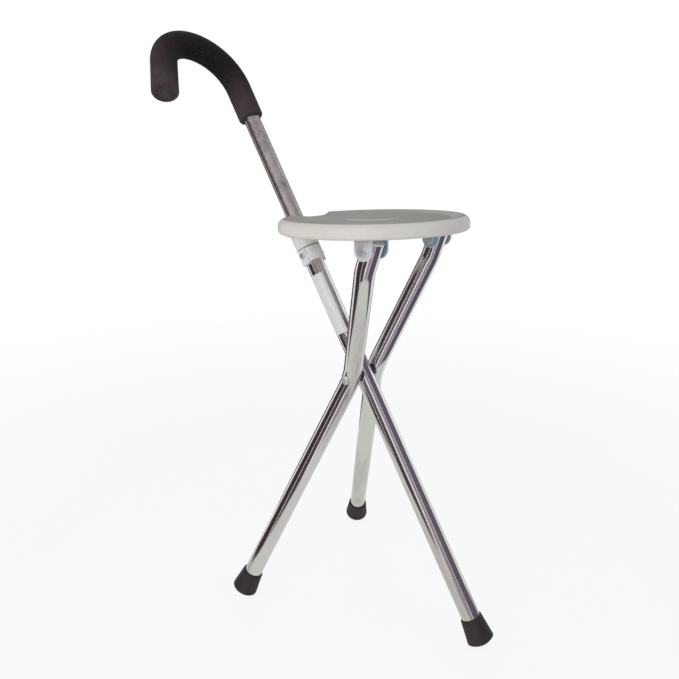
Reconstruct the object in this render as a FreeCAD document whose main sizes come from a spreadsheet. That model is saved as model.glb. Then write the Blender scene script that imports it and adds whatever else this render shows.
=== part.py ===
"""Walking stick seat: a hooked stick, two crossing legs and a round seat that folds up along the stick.

Millimetres, +Z up.  The ground is Z = 0 and the origin lies on it, below the middle of the whole
object.  The stick leans in the XZ plane: its foot is on the +X side and its hooked handle on the
-X side.  The two legs mirror each other in that plane, and the handle hooks towards -Y.
"""
import FreeCAD
import Part
import Sketcher
import math
import os
from FreeCAD import Placement, Rotation, Vector

doc = FreeCAD.newDocument("walking_stick_seat")
sheet = doc.addObject("Spreadsheet::Sheet", "Sizes")

DRIVING = [
    # the stick
    ("stick_lean", 31.7), ("crossing_height", 295.0), ("crossing_x", 32.5),
    ("main_tube_od", 22.0), ("main_tube_wall", 0.9), ("main_tube_top", 163.3),
    ("tube_fit", 0.1), ("crook_tube_wall", 1.2), ("crook_tube_insert", 60.0),
    ("crook_start", 386.0), ("crook_radius_one", 56.0), ("crook_angle_one", 90.0),
    ("crook_radius_two", 45.0), ("crook_angle_two", 68.0), ("crook_nose", 42.0),
    # the grip
    ("foam_od", 31.0), ("foam_start", 345.0), ("foam_rounding", 3.0),
    ("plug_flange", 3.0), ("plug_length", 18.0), ("plug_dome", 1.2),
    # the stop collar on the joint of the two tubes
    ("collar_od", 29.0), ("collar_height", 17.8), ("collar_shoulder", 2.5),
    ("collar_tab_width", 12.0), ("collar_tab_reach", 15.5), ("collar_tab_drop", 1.8),
    ("collar_screw_diameter", 4.0), ("collar_screw_head", 7.5), ("collar_screw_head_height", 2.4),
    ("collar_screw_rise", 9.5), ("collar_nut_width", 7.0), ("collar_nut_height", 3.2),
    ("collar_rounding", 1.0),
    # the blank label
    ("label_bottom", 53.0), ("label_length", 78.0), ("label_thickness", 0.3), ("label_wrap", 200.0),
    ("label_edge_azimuth", 130.0),
    # the crossing
    ("cross_pin_diameter", 6.0), ("pin_clearance", 0.05), ("cross_pin_head", 11.0),
    ("cross_pin_head_height", 2.0), ("cross_pin_head_top", 7.0), ("spacer_od", 16.0),
    ("spacer_gap", 1.6), ("spacer_saddle", 4.4), ("turning_gap", 0.3),
    # the legs
    ("leg_lean", 19.3), ("leg_tube_od", 22.0), ("leg_tube_wall", 1.0),
    ("leg_splay_low", 17.3), ("leg_splay_high", 15.4), ("leg_apex_radius", 60.0),
    ("leg_top_radius", 40.0), ("leg_hinge_distance", 170.6), ("leg_hinge_side", 61.5),
    ("leg_top_past_hinge", 8.5), ("top_plug_length", 14.0), ("top_plug_flange", 1.5),
    # the rubber feet
    ("ferrule_length", 33.0), ("ferrule_top_od", 25.4), ("ferrule_rim_od", 33.4),
    ("ferrule_dome_radius", 24.0), ("ferrule_sole_depth", 0.4), ("ferrule_floor", 8.0),
    ("ferrule_edge_rounding", 1.2), ("ferrule_lip_rounding", 0.8), ("ferrule_washer", 1.2),
    # the seat
    ("seat_tilt", 2.0), ("seat_diameter", 211.0), ("seat_hinge_offset", 44.5), ("seat_hinge_drop", 12.0),
    ("seat_rim_height", 15.5), ("seat_rim_wall", 4.0), ("seat_skin", 3.5), ("seat_dish", 2.5),
    ("seat_shoulder_width", 8.5), ("seat_shoulder_rounding", 8.0), ("seat_edge_rounding", 3.5),
    ("seat_dish_slope", 12.0), ("scallop_radius", 45.0), ("scallop_offset", 130.0), ("scallop_flare", 4.0),
    ("scallop_height", 7.2), ("scallop_floor", 3.7),
    ("seat_disc_diameter", 58.0), ("seat_disc_height", 0.6),
    ("rib_thickness", 2.5), ("rib_depth", 5.5), ("rib_ring_diameter", 60.0),
    # the fork of the seat that holds the slide hub
    ("hub_hinge_drop", 3.6), ("fork_cheek", 5.0), ("fork_top_height", 7.0),
    ("fork_ear_radius", 9.0), ("fork_length", 34.0), ("fork_root_depth", 2.0),
    ("notch_depth", 10.5), ("notch_rounding", 5.0),
    # the slide hub
    ("hub_od", 29.0), ("hub_bore_clearance", 0.1), ("hub_slot", 2.4), ("hub_side_clearance", 0.5),
    ("hub_top_height", 2.7), ("hub_rest_gap", 0.1), ("hub_rounding", 1.0),
    ("trunnion_diameter", 6.0), ("trunnion_length", 8.0), ("trunnion_in_cheek", 3.5),
    ("trunnion_end_gap", 0.3),
    # the hinge brackets under the seat
    ("bracket_width", 21.0), ("bracket_ear", 3.5), ("bracket_base", 3.0), ("bracket_side_gap", 0.6),
    ("bracket_rounding", 1.0), ("pad_depth", 2.0), ("pad_margin", 3.0),
    ("bracket_screw_diameter", 3.5), ("bracket_screw_head", 6.5), ("bracket_screw_head_height", 1.8),
    ("bracket_screw_length", 7.0), ("bracket_screw_spacing", 14.0),
    ("pivot_diameter", 6.0), ("pivot_head", 12.0), ("pivot_head_height", 2.6),
    ("pivot_nut_width", 10.0), ("pivot_nut_height", 4.0), ("recess_arm", 1.4), ("recess_depth", 1.2),
]
for row, (alias, number) in enumerate(DRIVING, start=1):
    sheet.set("A%d" % row, alias.replace("_", " "))
    sheet.set("B%d" % row, str(number))
    sheet.setAlias("B%d" % row, alias)
doc.recompute()


def size(alias):
    """The number in the sheet's cell of that name."""
    return float(sheet.get(alias))


def angle(alias):
    """An angle of the sheet in radians."""
    return math.radians(size(alias))


# Frames: the stick's and the legs' have their origin at the crossing and Z up along the tube.
Y_AXIS = Vector(0, 1, 0)
CROSSING = Vector(size("crossing_x"), 0, size("crossing_height"))
STICK = Placement(CROSSING, Rotation(Y_AXIS, -size("stick_lean")))
LEG = Placement(CROSSING, Rotation(Y_AXIS, size("leg_lean")))
HINGE = LEG.multVec(Vector(0, 0, size("leg_hinge_distance")))
SEAT = Placement(HINGE, Rotation(Y_AXIS, -size("seat_tilt"))).multiply(
    Placement(Vector(-size("seat_hinge_offset"), 0, size("seat_hinge_drop")), Rotation()))
STICK_IN_SEAT = SEAT.inverse().multiply(STICK)
HUB_RISE = (-size("hub_hinge_drop") - STICK_IN_SEAT.Base.z) / STICK_IN_SEAT.Rotation.multVec(Vector(0, 0, 1)).z
HUB_HINGE = STICK.multVec(Vector(0, 0, HUB_RISE))
HUB = Placement(HUB_HINGE, Rotation(Y_AXIS, -size("stick_lean")))


def at(frame, x=0.0, y=0.0, z=0.0, turn=None):
    """A placement at a point of a frame, with an extra turn about that point."""
    return frame.multiply(Placement(Vector(x, y, z), turn or Rotation()))


# What a cutting tool reaches past the face that it cuts, and the shares of a screw head's own size
PAST = 1.0
HEAD_ROUNDING = 0.45
RECESS_REACH = 0.3
SKETCH_START = 20.0
ALONG_Y = Rotation(Vector(1, 0, 0), -90)
AGAINST_Y = Rotation(Vector(1, 0, 0), 90)


def primitive(kind, name, place, **sizes):
    """A Part primitive; each size is a formula of the sheet's names or a number worked out from them."""
    item = doc.addObject("Part::" + kind, name)
    for field, amount in sizes.items():
        if isinstance(amount, str):
            item.setExpression(field, amount)
        else:
            setattr(item, field, amount)
    item.Placement = place
    return item


def cylinder(name, place, radius, height):
    return primitive("Cylinder", name, place, Radius=radius, Height=height)


def ring(name, place, outer, inner, height):
    """A tube or washer: one cylinder less another."""
    return cut(name, cylinder(name + "_outside", place, outer, height),
               cylinder(name + "_inside", place, inner, height))


def box(name, place, length, width, height):
    return primitive("Box", name, place, Length=length, Width=width, Height=height)


def cut(name, base, *tools):
    """A solid less its tools, one after the other."""
    for index, tool in enumerate(tools):
        last = index == len(tools) - 1
        step = doc.addObject("Part::Cut", name if last else "%s_cut_%d" % (name, index))
        step.Base, step.Tool = base, tool
        base = step
    return base


def fuse(name, *shapes):
    item = doc.addObject("Part::MultiFuse", name)
    item.Shapes = list(shapes)
    item.Refine = True
    return item


def common(name, *shapes):
    item = doc.addObject("Part::MultiCommon", name)
    item.Shapes = list(shapes)
    return item


def rounded(name, base, radius, choose):
    """Fillets the edges that choose() picks, given each edge's middle point and the edge."""
    doc.recompute()
    picks = []
    for index, edge in enumerate(base.Shape.Edges, start=1):
        if edge.Degenerated:
            continue
        middle = edge.valueAt((edge.FirstParameter + edge.LastParameter) / 2.0)
        if choose(middle, edge):
            picks.append((index, radius, radius))
    item = doc.addObject("Part::Fillet", name)
    item.Base = base
    item.Edges = picks
    return item


def circle_edge(frame, radius, height, slack=0.05):
    """Picks the circular edges of a given radius at a given height above a frame's origin."""
    back = frame.inverse()

    def choose(middle, edge):
        curve = edge.Curve
        if not isinstance(curve, Part.Circle) or abs(curve.Radius - radius) > slack:
            return False
        return abs(back.multVec(curve.Center).z - height) < slack
    return choose


def bent_path(name, frame, corners, radii):
    """A wire in a frame's YZ plane through the corners, with tangent arcs at the inner ones."""
    points = [Vector(0, y, z) for y, z in corners]
    edges, start = [], points[0]
    for corner, before, after, radius in zip(points[1:-1], points, points[2:], radii):
        inward, outward = (before - corner).normalize(), (after - corner).normalize()
        half = inward.getAngle(outward) / 2.0
        reach = radius / math.tan(half)
        first, last = corner + inward * reach, corner + outward * reach
        middle = corner + (inward + outward).normalize() * (radius / math.sin(half) - radius)
        if (first - start).Length > 1e-6:
            edges.append(Part.LineSegment(start, first).toShape())
        edges.append(Part.Arc(first, middle, last).toShape())
        start = last
    edges.append(Part.LineSegment(start, points[-1]).toShape())
    item = doc.addObject("Part::Feature", name)
    item.Shape = Part.Wire(edges)
    item.Placement = frame
    return item


def swept(name, path, radius):
    """A round bar along a bent path, its radius bound to a formula."""
    wire = path.Shape
    begin = wire.Edges[0].valueAt(wire.Edges[0].FirstParameter)
    heading = wire.Edges[0].tangentAt(wire.Edges[0].FirstParameter)
    section = doc.addObject("Part::Circle", name + "_section")
    section.setExpression("Radius", radius)
    section.Placement = Placement(begin, Rotation(Vector(0, 0, 1), heading))
    item = doc.addObject("Part::Sweep", name)
    item.Sections = [section]
    item.Spine = (path, ["Edge%d" % (index + 1) for index in range(len(wire.Edges))])
    item.Solid = True
    item.Transition = "Right corner"
    return item


def outline(body, name, role, vertices):
    """A closed sketch on an origin plane whose corners are bound to pairs of formulas."""
    sketch = body.newObject("Sketcher::SketchObject", name)
    plane = [item for item in body.Origin.OriginFeatures if item.Role == role][0]
    sketch.AttachmentSupport = [(plane, "")]
    sketch.MapMode = "FlatFace"
    count = len(vertices)
    turns = [2 * math.pi * step / count for step in range(count)]
    guess = [Vector(SKETCH_START * math.cos(turn), SKETCH_START * math.sin(turn), 0) for turn in turns]
    for index in range(count):
        sketch.addGeometry(Part.LineSegment(guess[index], guess[(index + 1) % count]), False)
    for index in range(count):
        sketch.addConstraint(Sketcher.Constraint("Coincident", index, 2, (index + 1) % count, 1))
    for index, pair in enumerate(vertices):
        for kind, formula in zip(("DistanceX", "DistanceY"), pair):
            number = sketch.addConstraint(Sketcher.Constraint(kind, -1, 1, index, 1, 1.0))
            sketch.setExpression("Constraints[%d]" % number, formula)
    return sketch


PIECES = {}


def piece(node, item):
    """Names a finished sub-part."""
    item.Label = node
    PIECES[node] = item
    return item


def hexagon(name, place, across, height):
    """A hexagonal nut blank of a width across its flats."""
    item = doc.addObject("Part::Prism", name)
    item.Polygon = 6
    item.setExpression("Circumradius", "(%s) / sqrt(3)" % across)
    item.setExpression("Height", height)
    item.Placement = place
    return item


def cross_recess(name, place, reach):
    """The tool that cuts a cross slot into a screw head; its place is the middle of the head's face."""
    arms = []
    for index, turn in enumerate((0.0, 90.0)):
        spin = place.multiply(Placement(Vector(), Rotation(Vector(0, 0, 1), turn)))
        corner = Vector(-reach, -size("recess_arm") / 2.0, -size("recess_depth"))
        arms.append(box("%s_arm_%d" % (name, index), spin.multiply(Placement(corner, Rotation())),
                        2.0 * reach, "Sizes.recess_arm", "Sizes.recess_depth * 2"))
    return fuse(name, *arms)


def pan_head(name, frame, diameter, height):
    """A screw head with a rounded top edge; its seat is the frame's XY plane and it grows along +Z."""
    blank = cylinder(name + "_blank", frame, "Sizes.%s / 2" % diameter, "Sizes.%s" % height)
    top = frame.multVec(Vector(0, 0, size(height)))
    return rounded(name, blank, HEAD_ROUNDING * size(height), lambda middle, edge: isinstance(edge.Curve, Part.Circle)
                   and (edge.Curve.Center - top).Length < 0.01)


# The tubes of the stick
MAIN_RADIUS = size("main_tube_od") / 2.0
CROOK_RADIUS = MAIN_RADIUS - size("main_tube_wall") - size("tube_fit")
CROOK_RADIUS_TEXT = "Sizes.main_tube_od / 2 - Sizes.main_tube_wall - Sizes.tube_fit"
LEG_RADIUS = size("leg_tube_od") / 2.0


def foot_offset(tilt):
    """Where the dome of a ferrule begins, above the point where its tube's axis meets the ground."""
    dome = size("ferrule_dome_radius")
    return (dome - size("ferrule_sole_depth")) / math.cos(tilt) - dome


def ferrule(node, frame):
    """A bell-shaped rubber foot: flared side, domed bottom, flat sole where it meets the ground."""
    flare = primitive("Cone", node + "_flare", frame, Radius1="Sizes.ferrule_rim_od / 2",
                      Radius2="Sizes.ferrule_top_od / 2", Height="Sizes.ferrule_length")
    dome = primitive("Sphere", node + "_dome", at(frame, z=size("ferrule_dome_radius")),
                     Radius="Sizes.ferrule_dome_radius")
    bell = common(node + "_bell", flare, dome)
    back = frame.inverse()

    def rim(middle, edge):
        curve = edge.Curve
        if not isinstance(curve, Part.Circle):
            return False
        height = back.multVec(curve.Center).z
        return PAST < height < size("ferrule_length") - PAST

    soft = rounded(node + "_soft", bell, size("ferrule_edge_rounding"), rim)
    lip = rounded(node + "_lip", soft, size("ferrule_lip_rounding"),
                  circle_edge(frame, size("ferrule_top_od") / 2.0, size("ferrule_length")))
    bore = cylinder(node + "_bore", at(frame, z=size("ferrule_floor")),
                    "Sizes.leg_tube_od / 2", "Sizes.ferrule_length")
    foot = frame.multVec(Vector())
    span = 2.0 * size("ferrule_rim_od")
    ground = box(node + "_ground", Placement(Vector(foot.x - span / 2, foot.y - span / 2, -span), Rotation()),
                 span, span, span)
    piece(node, cut(node, lip, bore, ground))
    washer = cylinder(node + "_washer", at(frame, z=size("ferrule_floor")),
                      "Sizes.leg_tube_od / 2 - Sizes.leg_tube_wall / 2", "Sizes.ferrule_washer")
    piece(node + "_washer", washer)


STICK_FOOT = -size("crossing_height") / math.cos(angle("stick_lean")) + foot_offset(angle("stick_lean"))
STICK_END = STICK_FOOT + size("ferrule_floor") + size("ferrule_washer")
COLLAR_TOP = size("main_tube_top") + size("collar_shoulder")
COLLAR_BOTTOM = COLLAR_TOP - size("collar_height")
COLLAR_SCREW = COLLAR_BOTTOM + size("collar_screw_rise")
PIN_HOLE = "Sizes.cross_pin_diameter / 2 + Sizes.pin_clearance"
LONG = 4.0 * size("main_tube_od")


def through_y(name, place, radius):
    """A long round tool along Y through a point."""
    return cylinder(name, place.multiply(Placement(Vector(0, -LONG / 2, 0), ALONG_Y)), radius, LONG)


def tube_span(name, frame, radius, begin, finish):
    """A round bar along a frame's Z axis from one height to another."""
    return cylinder(name, at(frame, z=begin), radius, finish - begin)


def build_main_tube():
    outside = tube_span("main_tube_outside", STICK, "Sizes.main_tube_od / 2", STICK_END, size("main_tube_top"))
    inside = tube_span("main_tube_inside", STICK, "Sizes.main_tube_od / 2 - Sizes.main_tube_wall",
                       STICK_END, size("main_tube_top"))
    piece("main_tube", cut("main_tube", outside, inside, through_y("main_tube_pin_hole", STICK, PIN_HOLE),
                           through_y("main_tube_screw_hole", at(STICK, z=COLLAR_SCREW),
                                     "Sizes.collar_screw_diameter / 2")))


CROOK_CORNER_ONE = size("crook_start") + size("crook_radius_one") * math.tan(angle("crook_angle_one") / 2)
CROOK_SPAN = (size("crook_radius_one") * math.tan(angle("crook_angle_one") / 2)
              + size("crook_radius_two") * math.tan(angle("crook_angle_two") / 2))
CROOK_LAST = size("crook_radius_two") * math.tan(angle("crook_angle_two") / 2) + size("crook_nose")


def crook_corners(begin, extra):
    """Corners of the hooked centre line in the stick's YZ plane, from a height, extra at the nose."""
    one = angle("crook_angle_one")
    both = one + angle("crook_angle_two")
    corner_two = (-CROOK_SPAN * math.sin(one), CROOK_CORNER_ONE + CROOK_SPAN * math.cos(one))
    last = CROOK_LAST + extra
    nose = (corner_two[0] - last * math.sin(both), corner_two[1] + last * math.cos(both))
    return [(0.0, begin), (0.0, CROOK_CORNER_ONE), corner_two, nose]


def nose_frame():
    """The frame at the crook tube's open end, its Z axis pointing out of the tube."""
    y, z = crook_corners(0.0, 0.0)[-1]
    both = size("crook_angle_one") + size("crook_angle_two")
    return at(STICK, y=y, z=z, turn=Rotation(Vector(1, 0, 0), both))


def build_crook():
    radii = [size("crook_radius_one"), size("crook_radius_two")]
    begin = size("main_tube_top") - size("crook_tube_insert")
    path = bent_path("crook_path", STICK, crook_corners(begin, 0.0), radii)
    tube = cut("crook_tube", swept("crook_outside", path, CROOK_RADIUS_TEXT),
               swept("crook_inside", path, CROOK_RADIUS_TEXT + " - Sizes.crook_tube_wall"),
               through_y("crook_screw_hole", at(STICK, z=COLLAR_SCREW), "Sizes.collar_screw_diameter / 2"))
    piece("crook_tube", tube)
    foam_path = bent_path("foam_path", STICK, crook_corners(size("foam_start"), size("plug_flange")), radii)
    foam = swept("foam_outside", foam_path, "Sizes.foam_od / 2")
    foam_soft = rounded("foam_soft", foam, size("foam_rounding"),
                        lambda middle, edge: isinstance(edge.Curve, Part.Circle)
                        and abs(edge.Curve.Radius - size("foam_od") / 2.0) < 0.01
                        and (near_end(edge.Curve.Center)))
    piece("foam_grip", cut("foam_grip", foam_soft, swept("foam_bore", foam_path, CROOK_RADIUS_TEXT)))
    end = nose_frame()
    flange = cylinder("plug_flange_disc", end, CROOK_RADIUS_TEXT, "Sizes.plug_flange")
    flange_soft = rounded("plug_flange_soft", flange, size("plug_dome"),
                          circle_edge(end, CROOK_RADIUS, size("plug_flange")))
    stem = cylinder("plug_stem", at(end, z=-size("plug_length")),
                    CROOK_RADIUS_TEXT + " - Sizes.crook_tube_wall", "Sizes.plug_length")
    piece("grip_end_plug", fuse("grip_end_plug", flange_soft, stem))


def near_end(centre):
    """True for a point at either end of the foam's centre line."""
    begin = STICK.multVec(Vector(0, 0, size("foam_start")))
    finish = nose_frame().multVec(Vector(0, 0, size("plug_flange")))
    return (centre - begin).Length < 0.01 or (centre - finish).Length < 0.01


def build_collar():
    sleeve = cylinder("collar_sleeve", at(STICK, z=COLLAR_BOTTOM), "Sizes.collar_od / 2", "Sizes.collar_height")
    reach = size("collar_tab_reach")
    tab = box("collar_tab", at(STICK, -size("collar_tab_width") / 2, -reach,
                               COLLAR_BOTTOM - size("collar_tab_drop")),
              "Sizes.collar_tab_width", "2 * Sizes.collar_tab_reach",
              "Sizes.collar_height + Sizes.collar_tab_drop")
    body = fuse("collar_body", sleeve, tab)
    outer = rounded("collar_outer", body, size("collar_rounding"),
                    lambda middle, edge: abs(abs(STICK.inverse().multVec(middle).y) - reach) < 0.01)
    lower = tube_span("collar_lower_bore", STICK, "Sizes.main_tube_od / 2",
                      COLLAR_BOTTOM - size("collar_height"), size("main_tube_top"))
    upper = tube_span("collar_upper_bore", STICK, CROOK_RADIUS_TEXT, size("main_tube_top") - PAST,
                      COLLAR_TOP + PAST)
    piece("stop_collar", cut("stop_collar", outer, lower, upper,
                             through_y("collar_screw_hole", at(STICK, z=COLLAR_SCREW),
                                       "Sizes.collar_screw_diameter / 2")))
    shank = cylinder("collar_screw_shank", at(STICK, y=-reach, z=COLLAR_SCREW, turn=ALONG_Y),
                     "Sizes.collar_screw_diameter / 2",
                     2.0 * reach + size("collar_nut_height") + PAST)
    face = at(STICK, y=-reach, z=COLLAR_SCREW, turn=AGAINST_Y)
    head = pan_head("collar_screw_head", face, "collar_screw_head", "collar_screw_head_height")
    recess = cross_recess("collar_screw_recess", at(face, z=size("collar_screw_head_height")),
                          size("collar_screw_head") * RECESS_REACH)
    piece("collar_screw", cut("collar_screw", fuse("collar_screw_solid", shank, head), recess))
    nut_place = at(STICK, y=reach, z=COLLAR_SCREW, turn=ALONG_Y)
    nut = hexagon("collar_nut_blank", nut_place, "Sizes.collar_nut_width", "Sizes.collar_nut_height")
    piece("collar_nut", cut("collar_nut", nut, cylinder("collar_nut_bore", nut_place,
                                                        "Sizes.collar_screw_diameter / 2",
                                                        "Sizes.collar_nut_height")))


def on_level(frame, edge, level):
    """True where an edge lies wholly at one height of a frame."""
    back = frame.inverse()
    heights = [back.multVec(edge.valueAt(edge.FirstParameter + share
                                         * (edge.LastParameter - edge.FirstParameter))).z
               for share in (0.0, 0.35, 0.7, 1.0)]
    return all(abs(height - level) < 0.01 for height in heights)


def build_label():
    place = at(STICK, z=size("label_bottom"), turn=Rotation(Vector(0, 0, 1), size("label_edge_azimuth")))
    outer = cylinder("label_outside", place, "Sizes.main_tube_od / 2 + Sizes.label_thickness",
                     "Sizes.label_length")
    outer.setExpression("Angle", "Sizes.label_wrap")
    inner = cylinder("label_inside", place, "Sizes.main_tube_od / 2", "Sizes.label_length")
    piece("blank_label", cut("blank_label", outer, inner))


LEG_SIDE = MAIN_RADIUS + size("spacer_gap") + LEG_RADIUS
PIN_REACH = LEG_SIDE + LEG_RADIUS + size("turning_gap")


def build_cross_pin():
    shank = cylinder("cross_pin_shank", at(STICK, y=-PIN_REACH, turn=ALONG_Y),
                     "Sizes.cross_pin_diameter / 2", 2.0 * PIN_REACH)
    ends = []
    for name, side, turn in (("cross_pin_head", -1, AGAINST_Y), ("cross_pin_cap", 1, ALONG_Y)):
        ends.append(primitive("Cone", name, at(STICK, y=side * PIN_REACH, turn=turn),
                              Radius1="Sizes.cross_pin_head / 2", Radius2="Sizes.cross_pin_head_top / 2",
                              Height="Sizes.cross_pin_head_height"))
    piece("cross_pin", fuse("cross_pin", shank, ends[0]))
    piece("cross_pin_cap", ends[1])
    spacers = []
    for index, (side, turn) in enumerate(((-1, AGAINST_Y), (1, ALONG_Y))):
        place = at(STICK, y=side * (MAIN_RADIUS - size("spacer_saddle")), turn=turn)
        blank = cylinder("spacer_blank_%d" % index, place, "Sizes.spacer_od / 2",
                         "Sizes.spacer_saddle + Sizes.spacer_gap - Sizes.turning_gap")
        seat_cut = tube_span("spacer_seat_%d" % index, STICK, "Sizes.main_tube_od / 2",
                             -size("spacer_od"), size("spacer_od"))
        spacers.append(cut("spacer_%d" % index, blank, seat_cut,
                           through_y("spacer_hole_%d" % index, STICK, PIN_HOLE)))
    piece("crossing_spacers", group("crossing_spacers", *spacers))


def group(name, *items):
    """Separate solids that share one node."""
    item = doc.addObject("Part::Compound", name)
    item.Links = list(items)
    return item


def leg_corners(side):
    """Corners of a leg's centre line in the leg's YZ plane, and the frame of its foot."""
    low, high = angle("leg_splay_low"), angle("leg_splay_high")
    bend = size("leg_apex_radius")
    reach = bend / math.cos((low + high) / 2)
    apex_y = LEG_SIDE + bend - reach * math.cos((high - low) / 2)
    apex_z = reach * math.sin((high - low) / 2)
    tilt = math.acos(math.cos(low) * math.cos(angle("leg_lean")))
    ground = (size("crossing_height") / math.cos(angle("leg_lean")) + apex_z) / math.cos(low)
    run = ground - foot_offset(tilt)
    foot = (apex_y + run * math.sin(low), apex_z - run * math.cos(low))
    inset = size("ferrule_floor") + size("ferrule_washer")
    tube_end = (apex_y + (run - inset) * math.sin(low), apex_z - (run - inset) * math.cos(low))
    bend_z = apex_z + (size("leg_hinge_side") - apex_y) / math.tan(high)
    top = size("leg_hinge_distance") + size("leg_top_past_hinge")
    corners = [tube_end, (apex_y, apex_z), (size("leg_hinge_side"), bend_z), (size("leg_hinge_side"), top)]
    foot_place = at(LEG, y=side * foot[0], z=foot[1],
                    turn=Rotation(Vector(1, 0, 0), side * size("leg_splay_low")))
    return [(side * y, z) for y, z in corners], foot_place


def build_leg(word, side):
    corners, foot_place = leg_corners(side)
    path = bent_path(word + "_leg_path", LEG, corners, [size("leg_apex_radius"), size("leg_top_radius")])
    hinge = at(LEG, y=0.0, z=size("leg_hinge_distance"))
    pivot_hole = "Sizes.pivot_diameter / 2 + Sizes.pin_clearance"
    piece(word + "_leg_tube",
          cut(word + "_leg_tube", swept(word + "_leg_outside", path, "Sizes.leg_tube_od / 2"),
              swept(word + "_leg_inside", path, "Sizes.leg_tube_od / 2 - Sizes.leg_tube_wall"),
              through_y(word + "_leg_pin_hole", LEG, PIN_HOLE),
              long_drill(word + "_leg_pivot_hole", hinge, pivot_hole)))
    ferrule(word + "_leg_ferrule", foot_place)
    top = at(LEG, y=corners[-1][0], z=corners[-1][1])
    flange = cylinder(word + "_plug_flange", top, "Sizes.leg_tube_od / 2", "Sizes.top_plug_flange")
    stem = cylinder(word + "_plug_stem", at(top, z=-size("top_plug_length")),
                    "Sizes.leg_tube_od / 2 - Sizes.leg_tube_wall", "Sizes.top_plug_length")
    piece(word + "_leg_top_plug",
          cut(word + "_leg_top_plug", fuse(word + "_plug_solid", flange, stem),
              long_drill(word + "_plug_hole", hinge, pivot_hole)))


def long_drill(name, place, radius):
    """A round tool along Y, long enough to pass both hinge brackets."""
    return cylinder(name, place.multiply(Placement(Vector(0, -2 * LONG, 0), ALONG_Y)), radius, 4 * LONG)


# The seat, in its own frame: Z' = 0 is the lower edge of its rim
SEAT_BACK = SEAT.inverse()
HUB_IN_SEAT = SEAT_BACK.multVec(HUB_HINGE)
HINGE_IN_SEAT = SEAT_BACK.multVec(HINGE)
CEILING = size("seat_rim_height") - size("seat_dish") - size("seat_skin")
FORK_GAP = size("hub_od") + 2.0 * size("hub_side_clearance")
BRACKET_HALF = LEG_RADIUS + size("bracket_side_gap") + size("bracket_ear")
RIB_AZIMUTHS = (0.0, 25.0, 90.0, 120.0, 150.0, -150.0, -120.0, -90.0, -25.0)


def build_seat_plate():
    """The turned plate: rim, rolled shoulder, shallow dish and a plain raised disc in the middle."""
    body = doc.addObject("PartDesign::Body", "seat_plate")
    rim, high = "Sizes.seat_diameter / 2", "Sizes.seat_rim_height"
    dish = high + " - Sizes.seat_dish"
    disc = "Sizes.seat_disc_diameter / 2"
    crown = rim + " - Sizes.seat_shoulder_width"
    profile = outline(body, "seat_profile", "XZ_Plane", [
        ("0", dish + " - Sizes.seat_skin"),
        (rim + " - Sizes.seat_rim_wall", dish + " - Sizes.seat_skin"),
        (rim + " - Sizes.seat_rim_wall", "0"),
        (rim, "0"),
        (rim, high),
        (crown, high),
        (crown + " - Sizes.seat_dish_slope", dish),
        (disc, dish),
        (disc, dish + " + Sizes.seat_disc_height"),
        ("0", dish + " + Sizes.seat_disc_height")])
    turned = body.newObject("PartDesign::Revolution", "seat_turned")
    turned.Profile = profile
    turned.ReferenceAxis = (profile, ["V_Axis"])
    turned.Angle = 360.0
    doc.recompute()
    radius = size("seat_diameter") / 2.0
    rounds = [("seat_shoulder", radius, size("seat_rim_height"), "Sizes.seat_shoulder_rounding"),
              ("seat_edge", radius, 0.0, "Sizes.seat_edge_rounding"),
              ("seat_crown", radius - size("seat_shoulder_width"), size("seat_rim_height"),
               "Sizes.seat_dish"),
              ("seat_disc_edge", size("seat_disc_diameter") / 2.0,
               size("seat_rim_height") - size("seat_dish") + size("seat_disc_height"),
               "Sizes.seat_disc_height / 2")]
    base = turned
    for name, edge_radius, height, formula in rounds:
        choose = circle_edge(Placement(), edge_radius, height)
        names = ["Edge%d" % number for number, edge in enumerate(base.Shape.Edges, start=1)
                 if choose(None, edge)]
        fillet = body.newObject("PartDesign::Fillet", name)
        fillet.Base = (base, names)
        fillet.setExpression("Radius", formula)
        doc.recompute()
        base = fillet
    body.Placement = SEAT
    return body


def build_fork_block():
    """The side outline of the fork's cheeks, as one block over the fork's full width."""
    x, z = HUB_IN_SEAT.x, HUB_IN_SEAT.z
    ear = size("fork_ear_radius")
    top = size("fork_top_height")
    root = x + size("fork_length")
    inside = CEILING + size("seat_skin") / 2.0
    wall = size("seat_rim_wall") - size("seat_diameter") / 2.0
    points = [(x - ear, z), (x + ear, z), (root, CEILING - size("fork_root_depth")),
              (root, inside), (wall, inside), (wall, top),
              (x - ear / 2, top), (x - ear, top - ear / 2)]
    wire = Part.makePolygon([Vector(px, 0, pz) for px, pz in points + points[:1]])
    side = doc.addObject("Part::Feature", "fork_side")
    side.Shape = Part.Face(wire)
    block = doc.addObject("Part::Extrusion", "fork_block_solid")
    block.Base = side
    block.DirMode = "Custom"
    block.Dir = Vector(0, 1, 0)
    block.LengthFwd = FORK_GAP + 2.0 * size("fork_cheek")
    block.Symmetric = True
    block.Solid = True
    block.Placement = SEAT
    return block


def scallop_floor():
    """The web that closes the seat under the lowered edge in front of the stick."""
    low = size("scallop_height") - size("scallop_floor")
    tall = CEILING + size("seat_skin") / 2.0 - low
    disc = cylinder("scallop_disc", at(SEAT, z=low), "Sizes.seat_diameter / 2 - Sizes.seat_rim_wall / 2", tall)
    web = cylinder("scallop_web", at(SEAT, -size("scallop_offset"), z=low),
                   "Sizes.scallop_radius + Sizes.scallop_flare", tall)
    return common("scallop_floor_solid", disc, web)


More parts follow.
